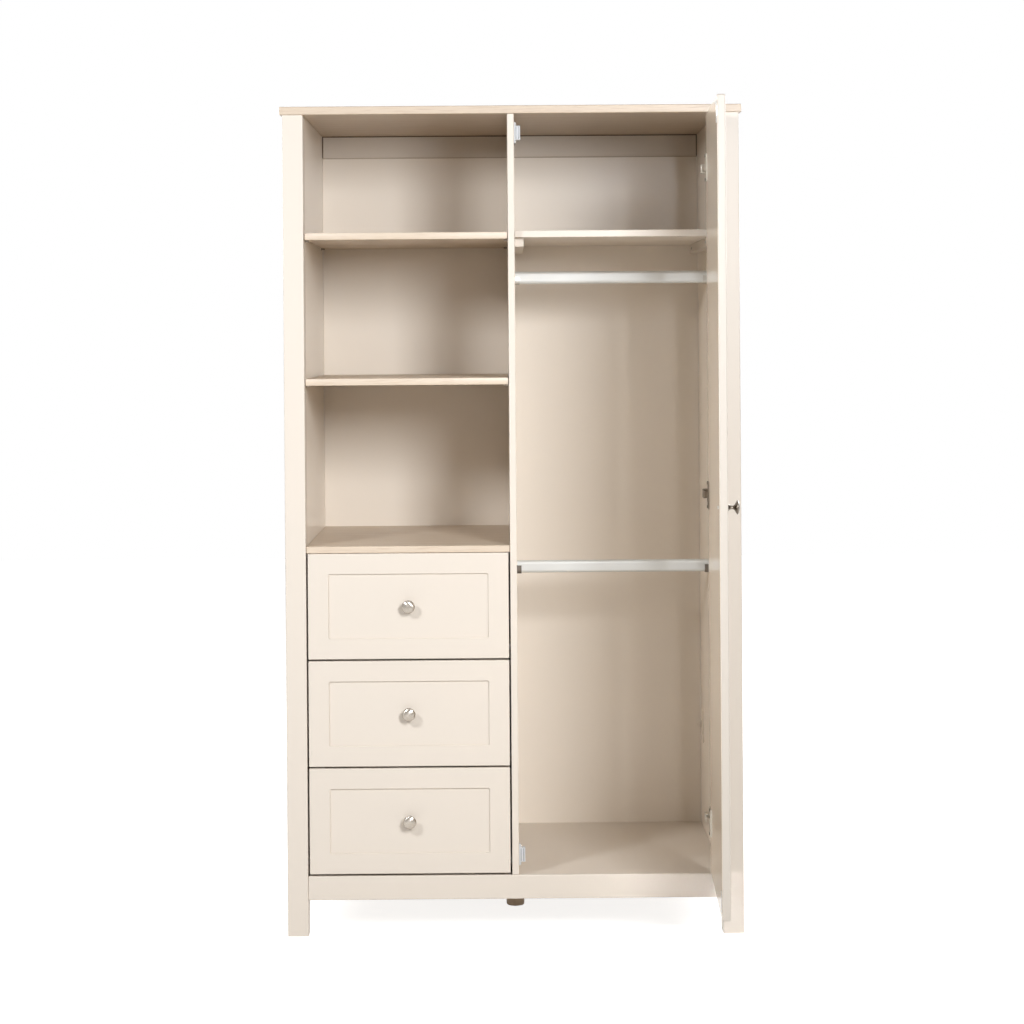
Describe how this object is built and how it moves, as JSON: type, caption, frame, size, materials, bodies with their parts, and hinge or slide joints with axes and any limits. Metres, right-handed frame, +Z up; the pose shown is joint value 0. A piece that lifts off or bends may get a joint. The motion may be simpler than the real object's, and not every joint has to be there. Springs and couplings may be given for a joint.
{
  "type": "wardrobe",
  "caption": "Free-standing wardrobe with an oak top, open shelves over drawers on one side and a hanging space with rails and a hinged door on the other.",
  "frame": {"origin": "middle of the bottom of the centre foot, on the floor", "axes": "+Z up along the height, +X along the front towards the door's hinges, +Y from the front to the back"},
  "size_m": [1.03, 1.0689, 1.85],
  "materials": {
    "cream_paint": "cream satin paint on board",
    "oak_foil": "light oak, satin",
    "brushed_nickel": "brushed nickel",
    "zinc_plate": "bright zinc and nickel plate",
    "satin_aluminium": "satin",
    "white_plastic": "matt white plastic",
    "brown_plastic": "matt brown plastic",
    "drawer_board": "foil-covered board"
  },
  "bodies": {
    "carcase": {"front_left_post": "cream_paint", "rear_left_post": "cream_paint", "left_side_panel": "cream_paint", "front_right_post": "cream_paint", "rear_right_post": "cream_paint", "right_side_panel": "cream_paint", "plinth_rail": "cream_paint", "bottom_panel": "cream_paint", "back_panel": "cream_paint", "back_top_rail": "cream_paint", "centre_panel": "cream_paint", "hanging_shelf": "cream_paint", "left_cleat": "cream_paint", "right_cleat": "cream_paint", "top_panel": "oak_foil", "drawer_top_shelf": "oak_foil", "lower_shelf": "oak_foil", "upper_shelf": "oak_foil", "upper_rail_left_socket": "zinc_plate", "upper_rail_right_socket": "zinc_plate", "lower_rail_left_socket": "zinc_plate", "lower_rail_right_socket": "zinc_plate", "hinge_arm_lower": "zinc_plate", "hinge_arm_middle": "zinc_plate", "hinge_arm_upper": "zinc_plate", "upper_hanging_rail": "satin_aluminium", "lower_hanging_rail": "satin_aluminium", "upper_catch": "white_plastic", "lower_catch": "white_plastic", "lower_left_runner": "white_plastic", "lower_right_runner": "white_plastic", "middle_left_runner": "white_plastic", "middle_right_runner": "white_plastic", "upper_left_runner": "white_plastic", "upper_right_runner": "white_plastic", "centre_foot": "brown_plastic"},
    "door": {"door_panel": "cream_paint", "door_knob": "brushed_nickel", "hinge_cup_lower": "zinc_plate", "hinge_cup_middle": "zinc_plate", "hinge_cup_upper": "zinc_plate"},
    "lower_drawer": {"lower_drawer_front": "cream_paint", "lower_drawer_left_side": "drawer_board", "lower_drawer_right_side": "drawer_board", "lower_drawer_back": "drawer_board", "lower_drawer_base": "drawer_board", "lower_drawer_knob": "brushed_nickel"},
    "middle_drawer": {"middle_drawer_front": "cream_paint", "middle_drawer_left_side": "drawer_board", "middle_drawer_right_side": "drawer_board", "middle_drawer_back": "drawer_board", "middle_drawer_base": "drawer_board", "middle_drawer_knob": "brushed_nickel"},
    "upper_drawer": {"upper_drawer_front": "cream_paint", "upper_drawer_left_side": "drawer_board", "upper_drawer_right_side": "drawer_board", "upper_drawer_back": "drawer_board", "upper_drawer_base": "drawer_board", "upper_drawer_knob": "brushed_nickel"}
  },
  "joints": [
    {"name": "door_hinge", "type": "hinge", "parent": "carcase", "child": "door", "pos_m": [0.46, -0.3015, 0.98], "axis": [0, 0, 1], "range_deg": [-88.14, 10]},
    {"name": "lower_drawer_slide", "type": "slide", "parent": "carcase", "child": "lower_drawer", "axis": [0, -1, 0], "range_m": [0, 0.36]},
    {"name": "middle_drawer_slide", "type": "slide", "parent": "carcase", "child": "middle_drawer", "axis": [0, -1, 0], "range_m": [0, 0.36]},
    {"name": "upper_drawer_slide", "type": "slide", "parent": "carcase", "child": "upper_drawer", "axis": [0, -1, 0], "range_m": [0, 0.36]}
  ]
}
